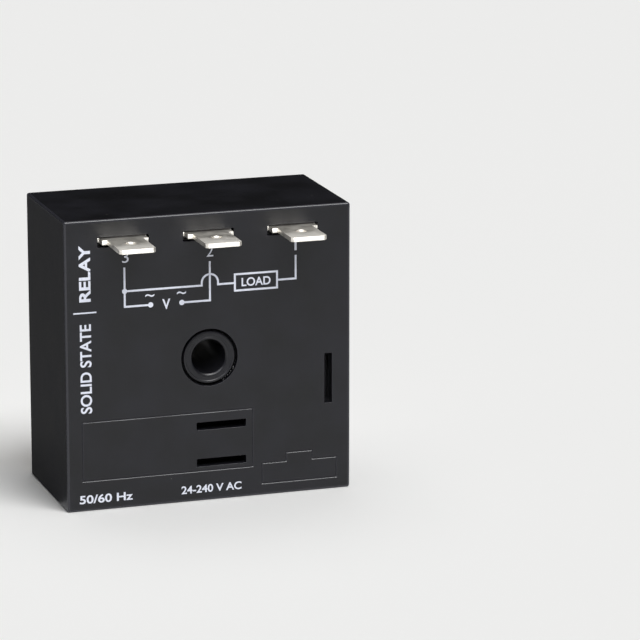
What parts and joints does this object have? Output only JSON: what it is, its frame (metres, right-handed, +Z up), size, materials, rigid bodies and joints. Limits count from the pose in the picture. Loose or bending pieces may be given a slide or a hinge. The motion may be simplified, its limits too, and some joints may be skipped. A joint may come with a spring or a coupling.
{
  "type": "solid state relay",
  "caption": "Square black encapsulated relay module with quick-connect tabs on its face, a central screw hole and an aluminium heat plate on its back",
  "frame": {"origin": "on the ground, under the middle of the whole object's box, tabs included, with the module standing on its lower side", "axes": "+Z up, +Y out of the aluminium mounting plate towards the panel it is bolted to, +X to the right as seen from the face that carries the tabs"},
  "size_m": [0.0508, 0.035, 0.0508],
  "materials": {
    "moulded_black": "satin black moulded plastic",
    "aluminium": "bare, finely brushed sideways",
    "tin_plated_brass": "bright tin plating",
    "resin": "cast black epoxy",
    "laminate": "glass-epoxy laminate with green mask",
    "silicone_pad": "grey filled silicone",
    "package_epoxy": "moulded semiconductor package",
    "resistor_enamel": "light blue enamel",
    "diode_glass": "orange glass",
    "film_case": "red capacitor case",
    "can_sleeve": "dark blue shrink sleeve",
    "varistor_coat": "blue powder coat"
  },
  "bodies": {
    "root": {"housing": "moulded_black", "mounting_sleeve": "moulded_black", "mounting_plate": "aluminium", "potting_front": "resin", "potting_rear": "resin", "circuit_board": "laminate", "terminal_1": "tin_plated_brass", "terminal_2": "tin_plated_brass", "terminal_3": "tin_plated_brass", "insulating_pad": "silicone_pad", "triac_tab": "tin_plated_brass", "triac_body": "package_epoxy", "triac_lead_main_1": "tin_plated_brass", "triac_lead_main_2": "tin_plated_brass", "triac_lead_gate": "tin_plated_brass", "control_chip": "package_epoxy", "driver_transistor": "package_epoxy", "bridge_diode_1": "package_epoxy", "bridge_diode_2": "package_epoxy", "bridge_diode_3": "package_epoxy", "bridge_diode_4": "package_epoxy", "zener_diode": "diode_glass", "dropping_resistor_1": "resistor_enamel", "dropping_resistor_2": "resistor_enamel", "timing_resistor": "resistor_enamel", "snubber_resistor": "resistor_enamel", "gate_resistor": "resistor_enamel", "snubber_capacitor": "film_case", "timing_capacitor": "film_case", "filter_capacitor": "can_sleeve", "varistor": "varistor_coat"}
  },
  "joints": []
}
